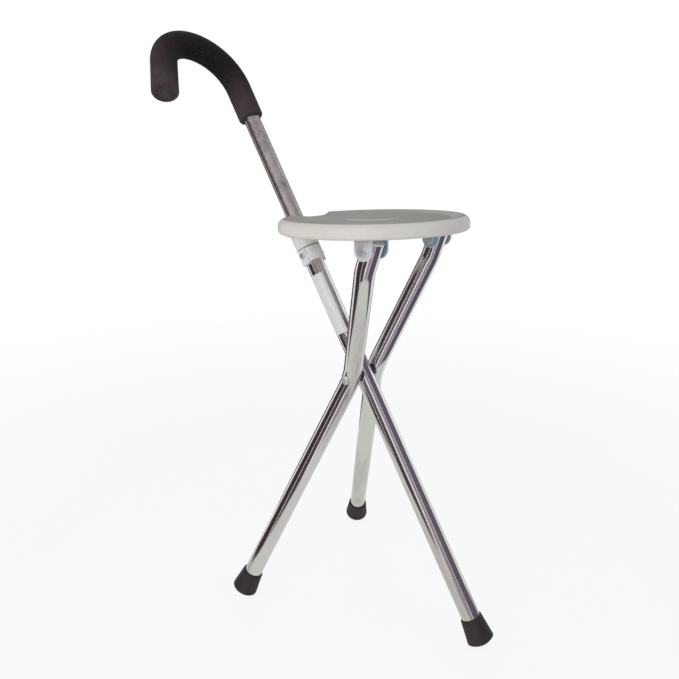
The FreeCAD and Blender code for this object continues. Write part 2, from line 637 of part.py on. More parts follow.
def build_seat_shell():
    half = FORK_GAP / 2.0
    cheek = size("fork_cheek")
    solids = [build_seat_plate(), build_fork_block()]
    solids.append(cylinder("fork_ear_round",
                           at(SEAT, HUB_IN_SEAT.x, -half - cheek, HUB_IN_SEAT.z, ALONG_Y),
                           "Sizes.fork_ear_radius", 2.0 * (half + cheek)))
    ring_radius = size("rib_ring_diameter") / 2.0
    outer = size("seat_diameter") / 2.0 - size("seat_rim_wall") / 2.0
    for number, azimuth in enumerate(RIB_AZIMUTHS):
        spin = SEAT.multiply(Placement(Vector(), Rotation(Vector(0, 0, 1), azimuth)))
        solids.append(box("rib_%d" % number,
                          at(spin, ring_radius - size("rib_thickness") / 2, -size("rib_thickness") / 2,
                             CEILING - size("rib_depth")),
                          outer - ring_radius, "Sizes.rib_thickness",
                          "Sizes.rib_depth + Sizes.seat_skin / 2"))
    solids.append(ring("rib_ring", at(SEAT, z=CEILING - size("rib_depth")), "Sizes.rib_ring_diameter / 2",
                       "Sizes.rib_ring_diameter / 2 - Sizes.rib_thickness",
                       "Sizes.rib_depth + Sizes.seat_skin / 2"))
    for word, side in (("front", -1), ("rear", 1)):
        pad_half = BRACKET_HALF + size("pad_margin")
        pad_x = size("bracket_width") / 2 + size("pad_margin")
        solids.append(box(word + "_pad", at(SEAT, HINGE_IN_SEAT.x - pad_x,
                                            side * size("leg_hinge_side") - pad_half,
                                            CEILING - size("pad_depth")),
                          "Sizes.bracket_width + 2 * Sizes.pad_margin", 2.0 * pad_half,
                          "Sizes.pad_depth + Sizes.seat_skin / 2"))
    solids.append(scallop_floor())
    whole = fuse("seat_whole", *solids)
    radius = size("seat_diameter") / 2.0
    notch_end = -radius + size("notch_depth")
    tall = 4.0 * size("seat_rim_height")
    notch = box("notch_blank", at(SEAT, notch_end - radius, -half, -tall / 2), radius, FORK_GAP, tall)
    notch_tool = rounded("notch_tool", notch, size("notch_rounding"), lambda middle, edge: abs(
        SEAT_BACK.multVec(middle).x - notch_end) < 0.01 and abs(SEAT_BACK.multVec(middle).z) < 0.01)
    channel_length = radius + HUB_IN_SEAT.x + size("fork_length") + PAST
    scallop = primitive("Cone", "scallop_tool", at(SEAT, -size("scallop_offset"), z=size("scallop_height")),
                        Radius1="Sizes.scallop_radius", Radius2="Sizes.scallop_radius + Sizes.scallop_flare",
                        Height="Sizes.seat_rim_height - Sizes.scallop_height + Sizes.seat_dish")
    tools = [scallop, notch_tool, box("channel_tool", at(SEAT, -radius - PAST, -half, CEILING - tall),
                                      channel_length, FORK_GAP, tall)]
    for index, side in enumerate((-1, 1)):
        tools.append(cylinder("trunnion_hole_%d" % index,
                              at(SEAT, HUB_IN_SEAT.x, side * (half - PAST), HUB_IN_SEAT.z,
                                 ALONG_Y if side > 0 else AGAINST_Y),
                              "Sizes.trunnion_diameter / 2 + Sizes.pin_clearance",
                              size("trunnion_in_cheek") + size("trunnion_end_gap") + PAST))
    for number, place in enumerate(bracket_screw_places()):
        tools.append(cylinder("screw_hole_%d" % number, place, "Sizes.bracket_screw_diameter / 2",
                              "Sizes.bracket_screw_length"))
    piece("seat_shell", cut("seat_shell", whole, *tools))


def bracket_screw_places():
    """The four screws: the underside of each bracket's base, pointing up into the seat."""
    level = CEILING - size("pad_depth") - size("bracket_base")
    return [at(SEAT, HINGE_IN_SEAT.x + along * size("bracket_screw_spacing") / 2,
               side * size("leg_hinge_side"), level) for side in (-1, 1) for along in (-1, 1)]


def build_brackets():
    level = CEILING - size("pad_depth") - size("bracket_base")
    width = size("bracket_width")
    for word, side in (("front", -1), ("rear", 1)):
        middle = side * size("leg_hinge_side")
        parts = [box(word + "_bracket_base",
                     at(SEAT, HINGE_IN_SEAT.x - width / 2, middle - BRACKET_HALF, level),
                     "Sizes.bracket_width", 2.0 * BRACKET_HALF, "Sizes.bracket_base")]
        for index, edge in enumerate((middle - BRACKET_HALF, middle + BRACKET_HALF - size("bracket_ear"))):
            parts.append(box("%s_ear_%d" % (word, index),
                             at(SEAT, HINGE_IN_SEAT.x - width / 2, edge, HINGE_IN_SEAT.z),
                             "Sizes.bracket_width", "Sizes.bracket_ear",
                             level + size("bracket_base") - HINGE_IN_SEAT.z))
            parts.append(cylinder("%s_ear_round_%d" % (word, index),
                                  at(SEAT, HINGE_IN_SEAT.x, edge, HINGE_IN_SEAT.z, ALONG_Y),
                                  "Sizes.bracket_width / 2", "Sizes.bracket_ear"))
        hinge = at(LEG, z=size("leg_hinge_distance"))
        tools = [long_drill(word + "_bracket_hole", hinge, "Sizes.pivot_diameter / 2")]
        for number, place in enumerate(bracket_screw_places()):
            tools.append(cylinder("%s_screw_hole_%d" % (word, number), place,
                                  "Sizes.bracket_screw_diameter / 2", "Sizes.bracket_screw_length"))
        outer_faces = (middle - BRACKET_HALF, middle + BRACKET_HALF)
        solid = rounded(word + "_bracket_solid", fuse(word + "_bracket_raw", *parts), size("bracket_rounding"),
                        lambda point, edge: SEAT_BACK.multVec(point).z < level
                        and any(abs(point.y - face) < 0.01 for face in outer_faces))
        piece(word + "_bracket", cut(word + "_bracket", solid, *tools))
    screws = []
    for number, place in enumerate(bracket_screw_places()):
        shank = cylinder("bracket_screw_shank_%d" % number, place, "Sizes.bracket_screw_diameter / 2",
                         "Sizes.bracket_screw_length")
        head_place = place.multiply(Placement(Vector(), Rotation(Vector(1, 0, 0), 180)))
        head = pan_head("bracket_screw_head_%d" % number, head_place, "bracket_screw_head",
                        "bracket_screw_head_height")
        recess = cross_recess("bracket_screw_recess_%d" % number,
                              at(head_place, z=size("bracket_screw_head_height")),
                              size("bracket_screw_head") * RECESS_REACH)
        screws.append(cut("bracket_screw_%d" % number,
                          fuse("bracket_screw_solid_%d" % number, shank, head), recess))
    piece("bracket_screws", group("bracket_screws", *screws))


def build_pivots():
    """The bolts through the leg tops, heads towards -Y, and their nuts."""
    bolts, nuts = [], []
    for word, side in (("front", -1), ("rear", 1)):
        start = side * size("leg_hinge_side") - BRACKET_HALF
        finish = side * size("leg_hinge_side") + BRACKET_HALF
        place = at(SEAT, HINGE_IN_SEAT.x, start, HINGE_IN_SEAT.z, ALONG_Y)
        shank = cylinder(word + "_bolt_shank", place, "Sizes.pivot_diameter / 2",
                         2.0 * BRACKET_HALF + size("pivot_nut_height") + PAST)
        face = at(SEAT, HINGE_IN_SEAT.x, start, HINGE_IN_SEAT.z, AGAINST_Y)
        head = pan_head(word + "_bolt_head", face, "pivot_head", "pivot_head_height")
        recess = cross_recess(word + "_bolt_recess", at(face, z=size("pivot_head_height")),
                              size("pivot_head") * RECESS_REACH)
        bolts.append(cut(word + "_bolt", fuse(word + "_bolt_solid", shank, head), recess))
        nut_place = at(SEAT, HINGE_IN_SEAT.x, finish, HINGE_IN_SEAT.z, ALONG_Y)
        blank = hexagon(word + "_nut_blank", nut_place, "Sizes.pivot_nut_width", "Sizes.pivot_nut_height")
        nuts.append(cut(word + "_nut", blank, cylinder(word + "_nut_bore", nut_place,
                                                       "Sizes.pivot_diameter / 2", "Sizes.pivot_nut_height")))
    piece("pivot_bolts", group("pivot_bolts", *bolts))
    piece("pivot_nuts", group("pivot_nuts", *nuts))


def build_hub():
    """The sleeve that slides up the stick as the legs fold, hinged in the seat's fork."""
    bottom = COLLAR_TOP + size("hub_rest_gap") - HUB_RISE
    long = 2.0 * size("hub_od")
    sleeve = tube_span("hub_sleeve", HUB, "Sizes.hub_od / 2", bottom, bottom + long)
    above = box("hub_above", at(SEAT, HUB_IN_SEAT.x - long, -long, size("hub_top_height")),
                2 * long, 2 * long, 2 * long)
    trimmed = cut("hub_trimmed", sleeve, above)
    soft = rounded("hub_soft", trimmed, size("hub_rounding"),
                   lambda middle, edge: on_level(SEAT, edge, size("hub_top_height"))
                   or on_level(HUB, edge, bottom))
    bore_formula = CROOK_RADIUS_TEXT + " + Sizes.hub_bore_clearance"
    bore_radius = CROOK_RADIUS + size("hub_bore_clearance")
    near = tube_span("hub_bore", HUB, bore_formula, -long, long)
    far = tube_span("hub_bore_far", at(HUB, x=size("hub_slot")), bore_formula, -long, long)
    slot = box("hub_bore_slot", at(HUB, y=-bore_radius, z=-long), "Sizes.hub_slot",
               2 * bore_radius, 2 * long)
    tools = [near, far, slot]
    pins = []
    half = FORK_GAP / 2.0
    for index, side in enumerate((-1, 1)):
        begin = half + size("trunnion_in_cheek") - size("trunnion_length")
        place = at(HUB, y=side * begin, turn=ALONG_Y if side > 0 else AGAINST_Y)
        tools.append(cylinder("hub_pin_hole_%d" % index, place, "Sizes.trunnion_diameter / 2",
                              "Sizes.trunnion_length"))
        pins.append(cylinder("trunnion_pin_%d" % index, place, "Sizes.trunnion_diameter / 2",
                             "Sizes.trunnion_length"))
    piece("slide_hub", cut("slide_hub", soft, *tools))
    piece("trunnion_pins", group("trunnion_pins", *pins))


build_main_tube()
build_crook()
build_collar()
build_label()
build_cross_pin()
ferrule("stick_ferrule", at(STICK, z=STICK_FOOT))
for leg_word, leg_side in (("front", -1), ("rear", 1)):
    build_leg(leg_word, leg_side)
build_seat_shell()
build_brackets()
build_pivots()
build_hub()
doc.recompute()

troubles = [item.Name for item in doc.Objects if "Invalid" in item.State or "Error" in item.State]
if troubles:
    raise RuntimeError("objects that failed: %s" % ", ".join(troubles))
os.makedirs("parts", exist_ok=True)
for node, item in PIECES.items():
    if item.Shape.isNull() or not item.Shape.isValid():
        raise RuntimeError("%s has no valid shape" % node)
for node, item in PIECES.items():
    item.Shape.exportStep("parts/%s.step" % node)
    print("%-28s solids %d  volume %9.1f mm3" % (node, len(item.Shape.Solids), item.Shape.Volume))

legs_open = size("stick_lean") + size("leg_lean")
reach_hub = HINGE.sub(HUB_HINGE).Length
seat_turn = math.degrees(math.asin(size("leg_hinge_distance") / reach_hub * math.sin(math.radians(legs_open))))
print("legs open by %.3f deg, seat turns %.3f deg against the stick, ratio %.5f"
      % (legs_open, seat_turn, seat_turn / legs_open))
print("leg hinge at", [round(v, 3) for v in HINGE], "hub hinge at", [round(v, 3) for v in HUB_HINGE])
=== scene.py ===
"""The looks of a folding walking stick seat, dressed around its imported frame.

Metres, +Z up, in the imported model's own frame: the stick leans in the XZ plane, its handle hooks
towards -Y and the two legs mirror each other in the XZ plane.
"""
import logging
import math
from dataclasses import dataclass
from enum import Enum
from typing import Iterable, Sequence

import bmesh
import bpy
from mathutils import Matrix, Vector


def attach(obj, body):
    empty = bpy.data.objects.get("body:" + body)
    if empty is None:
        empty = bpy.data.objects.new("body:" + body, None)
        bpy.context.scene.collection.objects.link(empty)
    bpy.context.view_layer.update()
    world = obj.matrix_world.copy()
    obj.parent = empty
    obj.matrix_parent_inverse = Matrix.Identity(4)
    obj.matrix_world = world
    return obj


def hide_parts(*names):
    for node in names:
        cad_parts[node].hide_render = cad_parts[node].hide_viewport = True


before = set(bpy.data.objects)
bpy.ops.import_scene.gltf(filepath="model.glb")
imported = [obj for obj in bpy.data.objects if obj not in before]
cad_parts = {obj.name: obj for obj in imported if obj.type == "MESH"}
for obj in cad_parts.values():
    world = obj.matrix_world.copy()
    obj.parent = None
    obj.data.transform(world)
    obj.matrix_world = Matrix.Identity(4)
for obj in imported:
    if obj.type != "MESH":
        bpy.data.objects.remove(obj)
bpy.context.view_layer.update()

log = logging.getLogger("walking_stick_seat")

STICK_LEAN = math.radians(31.7)
LEG_LEAN = math.radians(19.3)
CROSSING = Vector((0.0325, 0.0, 0.295))
SHARP_ANGLE = math.radians(40.0)
WHITE = (1.0, 1.0, 1.0)
MIX_FACTOR, MIX_LOW, MIX_HIGH, MIX_RESULT = 0, 6, 7, 2
Triple = tuple[float, float, float]
Colour = Triple


class Value:
    """A number that flows between shader nodes, written like ordinary arithmetic."""

    def __init__(self, tree: bpy.types.NodeTree, socket: bpy.types.NodeSocket) -> None:
        """Wraps an output socket.

        Args:
            tree: the node tree that the socket belongs to.
            socket: the output that carries the number.
        """
        self.tree = tree
        self.socket = socket

    def _math(self, operation: str, *others: "Value | float", swap: bool = False) -> "Value":
        """Adds one Math node.

        Args:
            operation: the Math node's operation.
            others: its other operands.
            swap: True puts this value second.

        Returns:
            The node's result.
        """
        node = self.tree.nodes.new("ShaderNodeMath")
        node.operation = operation
        operands = [*others, self] if swap else [self, *others]
        for index, operand in enumerate(operands):
            if isinstance(operand, Value):
                self.tree.links.new(operand.socket, node.inputs[index])
            else:
                node.inputs[index].default_value = operand
        return Value(self.tree, node.outputs[0])

    def __add__(self, other: "Value | float") -> "Value":
        """Sum."""
        return self._math("ADD", other)

    __radd__ = __add__

    def __mul__(self, other: "Value | float") -> "Value":
        """Product."""
        return self._math("MULTIPLY", other)

    __rmul__ = __mul__

    def __sub__(self, other: "Value | float") -> "Value":
        """Difference."""
        return self._math("SUBTRACT", other)

    def __rsub__(self, other: float) -> "Value":
        """A plain number less this value."""
        return self._math("SUBTRACT", other, swap=True)

    def least(self, other: "Value | float") -> "Value":
        """The smaller of this value and another."""
        return self._math("MINIMUM", other)

    def ramp(self, low: float, high: float) -> "Value":
        """A smooth step.

        Args:
            low: where the result is 0.
            high: where the result is 1; it may be below low.

        Returns:
            0 to 1, eased at both ends.
        """
        node = self.tree.nodes.new("ShaderNodeMapRange")
        node.interpolation_type = "SMOOTHSTEP"
        upward = low < high
        bounds = (low, high, 0.0, 1.0) if upward else (high, low, 1.0, 0.0)
        for name, number in zip(("From Min", "From Max", "To Min", "To Max"), bounds):
            node.inputs[name].default_value = number
        self.tree.links.new(self.socket, node.inputs["Value"])
        return Value(self.tree, node.outputs["Result"])


@dataclass(frozen=True)
class Pattern:
    """Cloudy noise: cells per metre, octaves, how strong the finer ones are, and how it is drawn out."""

    scale: float
    detail: float = 3.0
    roughness: float = 0.5
    stretch: Triple | None = None


@dataclass(frozen=True)
class Relief:
    """How far a pattern stands proud, in metres, and the share of it that counts."""

    height: float
    share: float = 1.0


class Graph:
    """One material's node tree, ending in a Principled shader."""

    def __init__(self, name: str) -> None:
        """Makes a material that holds only its shader.

        Args:
            name: the material's name.
        """
        self.material = bpy.data.materials.new(name)
        self.material.use_nodes = True
        self.tree = self.material.node_tree
        self.tree.nodes.clear()
        self.output = self.tree.nodes.new("ShaderNodeOutputMaterial")
        self.shader = self.tree.nodes.new("ShaderNodeBsdfPrincipled")
        self.surface(self.shader.outputs[0])
        self.place = self.node("ShaderNodeTexCoord").outputs["Object"]

    @classmethod
    def of_tree(cls, tree: bpy.types.NodeTree) -> "Graph":
        """A graph over a tree that is no material's, emptied first."""
        graph = cls.__new__(cls)
        graph.tree = tree
        tree.nodes.clear()
        return graph

    def fill(self, node: bpy.types.Node, inputs: dict) -> None:
        """Sets or links a node's sockets.

        Args:
            node: the node.
            inputs: a number, colour, vector, Value or output socket for each socket by name or index.
        """
        for key, source in inputs.items():
            socket = node.inputs[key]
            if isinstance(source, Value):
                self.tree.links.new(source.socket, socket)
            elif isinstance(source, bpy.types.NodeSocket):
                self.tree.links.new(source, socket)
            elif socket.type == "RGBA":
                socket.default_value = (*source, 1.0)
            else:
                socket.default_value = source

    def node(self, kind: str, settings: dict | None = None, inputs: dict | None = None) -> bpy.types.Node:
        """Adds any node.

        Args:
            kind: the node's type.
            settings: its own settings, set first.
            inputs: what its sockets get, as in fill.

        Returns:
            The node.
        """
        made = self.tree.nodes.new(kind)
        for key, setting in (settings or {}).items():
            setattr(made, key, setting)
        self.fill(made, inputs or {})
        return made

    def surface(self, shader: bpy.types.NodeSocket) -> None:
        """Makes a shader's output the material's surface."""
        self.tree.links.new(shader, self.output.inputs["Surface"])

    def stretched(self, scale: Sequence[float], lean: float = 0.0) -> bpy.types.NodeSocket:
        """Object coordinates turned upright from a lean about Y, then scaled.

        Args:
            scale: cells per metre along the three turned axes.
            lean: how far the piece's own axis leans from +Z towards +X, in radians.

        Returns:
            The vector output.
        """
        turned = self.node("ShaderNodeVectorRotate", {"rotation_type": "Y_AXIS"},
                           {"Vector": self.place, "Center": tuple(CROSSING), "Angle": -lean})
        return self.node("ShaderNodeVectorMath", {"operation": "MULTIPLY"},
                         {0: turned.outputs[0], 1: tuple(scale)}).outputs[0]

    def noise(self, pattern: Pattern, lean: float = 0.0) -> Value:
        """Cloudy noise from 0 to 1.

        Args:
            pattern: how it looks.
            lean: how far a drawn out pattern's axis leans from +Z towards +X, in radians.

        Returns:
            The noise's value.
        """
        place = self.stretched(pattern.stretch, lean) if pattern.stretch else self.place
        made = self.node("ShaderNodeTexNoise", None,
                         {"Vector": place, "Scale": pattern.scale, "Detail": pattern.detail,
                          "Roughness": pattern.roughness})
        return Value(self.tree, made.outputs["Fac"])

    def cells(self, scale: float, feature: str = "F1") -> Value:
        """Distance to the nearest point of a scatter, for pores and pebbles."""
        made = self.node("ShaderNodeTexVoronoi", {"feature": feature},
                         {"Vector": self.place, "Scale": scale})
        return Value(self.tree, made.outputs["Distance"])

    def along(self, axis: int, lean: float = 0.0) -> Value:
        """One object coordinate in metres, after the lean is taken out."""
        parts = self.node("ShaderNodeSeparateXYZ", None, {0: self.stretched((1.0, 1.0, 1.0), lean)})
        return Value(self.tree, parts.outputs[axis])

    def facing(self, axis: int) -> Value:
        """One component of the surface's own normal in the object's coordinates."""
        normal = self.node("ShaderNodeTexCoord").outputs["Normal"]
        return Value(self.tree, self.node("ShaderNodeSeparateXYZ", None, {0: normal}).outputs[axis])

    def mix(self, factor: Value, low: "Colour | bpy.types.NodeSocket",
            high: "Colour | bpy.types.NodeSocket") -> bpy.types.NodeSocket:
        """A colour between two, by a factor from 0 to 1."""
        made = self.node("ShaderNodeMix", {"data_type": "RGBA"},
                         {MIX_FACTOR: factor, MIX_LOW: low, MIX_HIGH: high})
        return made.outputs[MIX_RESULT]

    def bump(self, pattern: Value, relief: Relief,
             under: bpy.types.NodeSocket | None = None) -> bpy.types.NodeSocket:
        """A Bump node over an optional coarser one.

        Args:
            pattern: 0 to 1.
            relief: how proud a 1 stands.
            under: the normal of the coarser bump.

        Returns:
            The normal.
        """
        inputs = {"Height": pattern, "Distance": relief.height, "Strength": relief.share}
        if under is not None:
            inputs["Normal"] = under
        return self.node("ShaderNodeBump", None, inputs).outputs[0]

    def finish(self, colour: "Colour | bpy.types.NodeSocket", roughness: "Value | float",
               normal: bpy.types.NodeSocket | None = None, **sockets: float) -> bpy.types.Material:
        """Connects the Principled shader.

        Args:
            colour: the base colour.
            roughness: the roughness.
            normal: the bumped normal.
            sockets: constant sockets by name, with _ for a space.

        Returns:
            The material.
        """
        wanted = {"Base Color": colour, "Roughness": roughness}
        if normal is not None:
            wanted["Normal"] = normal
        wanted.update({key.replace("_", " "): number for key, number in sockets.items()})
        self.fill(self.shader, wanted)
        return self.material


@dataclass(frozen=True)
class PlatedTube:
    """Bright plated tube: long drawing lines, faint stains, small spots and a slightly wavy mirror."""

    name: str
    lean: float
    clean: Colour = (0.74, 0.73, 0.735)
    stained: Colour = (0.58, 0.53, 0.52)
    lines: Pattern = Pattern(1.0, 4.0, 0.6, (900.0, 900.0, 14.0))
    stains: Pattern = Pattern(16.0, 5.0, 0.62, (2.6, 2.6, 0.3))
    spots: Pattern = Pattern(420.0, 2.0)
    waves: Pattern = Pattern(34.0, 2.0, 0.5, (1.0, 1.0, 0.35))
    line_relief: Relief = Relief(0.00003, 0.4)
    wave_relief: Relief = Relief(0.0006, 0.35)

    def build(self) -> bpy.types.Material:
        """Makes the material."""
        graph = Graph(self.name)
        lines = graph.noise(self.lines, self.lean)
        haze = graph.noise(self.stains, self.lean).ramp(0.46, 0.72)
        spots = graph.noise(self.spots).ramp(0.62, 0.78)
        colour = graph.mix(haze * 0.8 + lines * 0.12, self.clean, self.stained)
        roughness = 0.09 + haze * 0.08 + lines * 0.06 + spots * 0.06
        waves = graph.bump(graph.noise(self.waves, self.lean), self.wave_relief)
        return graph.finish(colour, roughness, graph.bump(lines, self.line_relief, waves), Metallic=1.0)


@dataclass(frozen=True)
class BrushedTube:
    """The duller upper tube, with a mottled, slightly warm surface."""

    name: str
    lean: float
    pale: Colour = (0.52, 0.49, 0.48)
    dark: Colour = (0.24, 0.205, 0.20)
    lines: Pattern = Pattern(1.0, 4.0, 0.65, (1100.0, 1100.0, 25.0))
    mottle: Pattern = Pattern(240.0, 5.0, 0.7)
    clouds: Pattern = Pattern(26.0, 3.0, 0.55)
    line_relief: Relief = Relief(0.00006, 0.8)
    mottle_relief: Relief = Relief(0.00008, 0.7)

    def build(self) -> bpy.types.Material:
        """Makes the material."""
        graph = Graph(self.name)
        lines = graph.noise(self.lines, self.lean)
        mottle = graph.noise(self.mottle)
        clouds = graph.noise(self.clouds).ramp(0.4, 0.7)
        tone = mottle.ramp(0.35, 0.72) * 0.55 + clouds * 0.35 + lines * 0.2
        roughness = 0.24 + mottle * 0.16 + lines * 0.10
        normal = graph.bump(lines, self.line_relief, graph.bump(mottle, self.mottle_relief))
        return graph.finish(graph.mix(tone, self.pale, self.dark), roughness, normal, Metallic=1.0)


@dataclass(frozen=True)
class Foam:
    """Matt foam: fine pores and grain, browner towards its two ends.

    lower_end and nose_end say where the brown begins and where it is full: the first along the stick,
    as the height once its lean is taken out, the second along Y.
    """

    name: str
    deep: Colour = (0.004, 0.003, 0.007)
    worn: Colour = (0.088, 0.066, 0.068)
    lower_end: tuple[float, float] = (0.705, 0.640)
    nose_end: tuple[float, float] = (-0.085, -0.128)
    pore_scale: float = 1500.0
    grain: Pattern = Pattern(420.0, 5.0, 0.75)
    clouds: Pattern = Pattern(22.0, 4.0, 0.6)
    pore_relief: Relief = Relief(0.00018, 0.7)
    grain_relief: Relief = Relief(0.00025, 0.7)

    def build(self) -> bpy.types.Material:
        """Makes the material."""
        graph = Graph(self.name)
        pores = graph.cells(self.pore_scale).ramp(0.05, 0.55)
        grain = graph.noise(self.grain)
        clouds = graph.noise(self.clouds)
        ends = graph.along(2, -STICK_LEAN).ramp(*self.lower_end) + graph.along(1).ramp(*self.nose_end)
        worn = ends.least(1.0) * (0.35 + clouds * 0.75)
        tone = worn * 0.8 + clouds.ramp(0.45, 0.75) * 0.12 + grain.ramp(0.35, 0.75) * 0.26 + pores * 0.04
        normal = graph.bump(pores, self.pore_relief, graph.bump(grain, self.grain_relief))
        return graph.finish(graph.mix(tone.least(1.0), self.deep, self.worn), 0.70 + grain * 0.2, normal,
                            Specular_IOR_Level=0.14, Sheen_Weight=0.02, Sheen_Roughness=0.5)


@dataclass(frozen=True)
class Rubber:
    """Moulded rubber foot, scuffed and dusty towards the ground."""

    name: str
    fresh: Colour = (0.014, 0.009, 0.010)
    scuffed: Colour = (0.060, 0.043, 0.042)
    scuff_height: float = 0.022
    grain: Pattern = Pattern(700.0, 3.0, 0.6)
    rubs: Pattern = Pattern(120.0, 5.0, 0.7, (1.0, 1.0, 0.4))
    grain_relief: Relief = Relief(0.00012, 0.5)
    rub_relief: Relief = Relief(0.0002, 0.4)

    def build(self) -> bpy.types.Material:
        """Makes the material."""
        graph = Graph(self.name)
        grain = graph.noise(self.grain)
        rubs = graph.noise(self.rubs)
        low = graph.along(2).ramp(self.scuff_height, 0.0)
        tone = low * 0.5 * rubs.ramp(0.3, 0.7) + rubs.ramp(0.45, 0.8) * 0.35 + grain * 0.12
        roughness = 0.5 + rubs * 0.25 + low * 0.1
        normal = graph.bump(grain, self.grain_relief, graph.bump(rubs, self.rub_relief))
        return graph.finish(graph.mix(tone, self.fresh, self.scuffed), roughness, normal)


@dataclass(frozen=True)
class SeatPlastic:
    """Moulded seat: fine pebble, more wear and a painted shade on the upper face, orange peel on the rim.
    """

    name: str
    rim: Colour = (0.79, 0.77, 0.73)
    # Base colour of the upward faces, darkened as painted shade.
    painted_top_shade: Colour = (0.34, 0.34, 0.315)
    grime: Colour = (0.24, 0.23, 0.21)
    pebble_scale: float = 620.0
    peel: Pattern = Pattern(300.0, 2.0)
    clouds: Pattern = Pattern(14.0, 5.0, 0.62)
    scratches: Pattern = Pattern(1.0, 3.0, 0.6, (60.0, 900.0, 30.0))
    pebble_relief: Relief = Relief(0.00016, 0.8)
    peel_relief: Relief = Relief(0.00012, 0.35)

    def build(self) -> bpy.types.Material:
        """Makes the material."""
        graph = Graph(self.name)
        pebble = graph.cells(self.pebble_scale).ramp(0.1, 0.6)
        peel = graph.noise(self.peel)
        clouds = graph.noise(self.clouds)
        scratches = graph.noise(self.scratches).ramp(0.62, 0.8)
        upward = graph.facing(2).ramp(0.93, 0.995)
        tone = clouds.ramp(0.3, 0.75) * 0.30 + scratches * 0.22
        # Painted shade: faces that point up get a darker base colour than the rim, standing in for how
        # light falls on them.
        base = graph.mix(upward * 0.9, self.rim, self.painted_top_shade)
        pits = upward * pebble.ramp(0.75, 0.1) * 0.12
        colour = graph.mix(tone * (0.35 + upward * 0.5) + pits, base, self.grime)
        roughness = 0.40 + peel * 0.08 + upward * 0.22 + clouds * 0.08
        normal = graph.bump(pebble * upward, self.pebble_relief, graph.bump(peel, self.peel_relief))
        return graph.finish(colour, roughness, normal, Specular_IOR_Level=0.28)


@dataclass(frozen=True)
class GreyPlastic:
    """Small moulded fittings: smooth, soiled in places, with grime and a painted shade in the seam between
    collar and hub.

    seam is the seam's height once the stick's lean is taken out.
    """

    name: str
    pale: Colour = (0.84, 0.84, 0.85)
    soiled: Colour = (0.60, 0.59, 0.58)
    seam_grime_and_shade: Colour = (0.045, 0.040, 0.040)
    seam: float = 0.4608
    seam_reach: float = 0.0013
    peel: Pattern = Pattern(420.0, 2.0)
    clouds: Pattern = Pattern(60.0, 5.0, 0.65)
    peel_relief: Relief = Relief(0.0001, 0.4)

    def build(self) -> bpy.types.Material:
        """Makes the material."""
        graph = Graph(self.name)
        clouds = graph.noise(self.clouds)
        along = graph.along(2, -STICK_LEAN)
        below = along.ramp(self.seam - self.seam_reach, self.seam)
        above = along.ramp(self.seam + self.seam_reach, self.seam)
        base = graph.mix(clouds.ramp(0.42, 0.78) * 0.5, self.pale, self.soiled)
        # The dark band at the seam is partly grime and partly painted shade between collar and hub.
        colour = graph.mix(below * above * (0.6 + clouds * 0.5), base, self.seam_grime_and_shade)
        normal = graph.bump(graph.noise(self.peel), self.peel_relief)
        return graph.finish(colour, 0.32 + clouds * 0.15, normal)


@dataclass(frozen=True)
class DarkPlastic:
    """Black moulded plastic, mottled and slightly uneven."""

    name: str
    deep: Colour = (0.016, 0.013, 0.014)
    pale: Colour = (0.055, 0.045, 0.045)
    clouds: Pattern = Pattern(220.0, 4.0, 0.6)
    cloud_relief: Relief = Relief(0.0001, 0.4)

    def build(self) -> bpy.types.Material:
        """Makes the material."""
        graph = Graph(self.name)
        clouds = graph.noise(self.clouds)
        colour = graph.mix(clouds.ramp(0.35, 0.75), self.deep, self.pale)
        return graph.finish(colour, 0.42 + clouds * 0.2, graph.bump(clouds, self.cloud_relief))


@dataclass(frozen=True)
class ZincSteel:
    """Zinc plated steel: crystalline mottle, cool in places."""

    name: str
    pale: Colour = (0.78, 0.78, 0.785)
    cool: Colour = (0.46, 0.56, 0.64)
    crystal_scale: float = 300.0
    clouds: Pattern = Pattern(50.0, 4.0, 0.6)
    cloud_relief: Relief = Relief(0.00008, 0.5)

    def build(self) -> bpy.types.Material:
        """Makes the material."""
        graph = Graph(self.name)
        crystals = graph.cells(self.crystal_scale, "SMOOTH_F1")
        clouds = graph.noise(self.clouds)
        colour = graph.mix(clouds.ramp(0.40, 0.72) * 0.6 + crystals * 0.25, self.pale, self.cool)
        roughness = 0.28 + clouds * 0.16 + crystals * 0.08
        return graph.finish(colour, roughness, graph.bump(clouds, self.cloud_relief), Metallic=0.55)


@dataclass(frozen=True)
class LabelFilm:
    """A blank white film: slight wrinkles, small specks, yellowed in places."""

    name: str
    clean: Colour = (0.80, 0.80, 0.80)
    aged: Colour = (0.60, 0.57, 0.52)
    wrinkles: Pattern = Pattern(60.0, 4.0, 0.6, (1.0, 1.0, 0.35))
    specks: Pattern = Pattern(500.0, 3.0, 0.6)
    wrinkle_relief: Relief = Relief(0.0002, 0.5)

    def build(self) -> bpy.types.Material:
        """Makes the material."""
        graph = Graph(self.name)
        wrinkles = graph.noise(self.wrinkles, -STICK_LEAN)
        specks = graph.noise(self.specks).ramp(0.66, 0.8)
        colour = graph.mix(wrinkles.ramp(0.5, 0.8) * 0.5 + specks * 0.3, self.clean, self.aged)
        return graph.finish(colour, 0.30 + wrinkles * 0.2, graph.bump(wrinkles, self.wrinkle_relief))


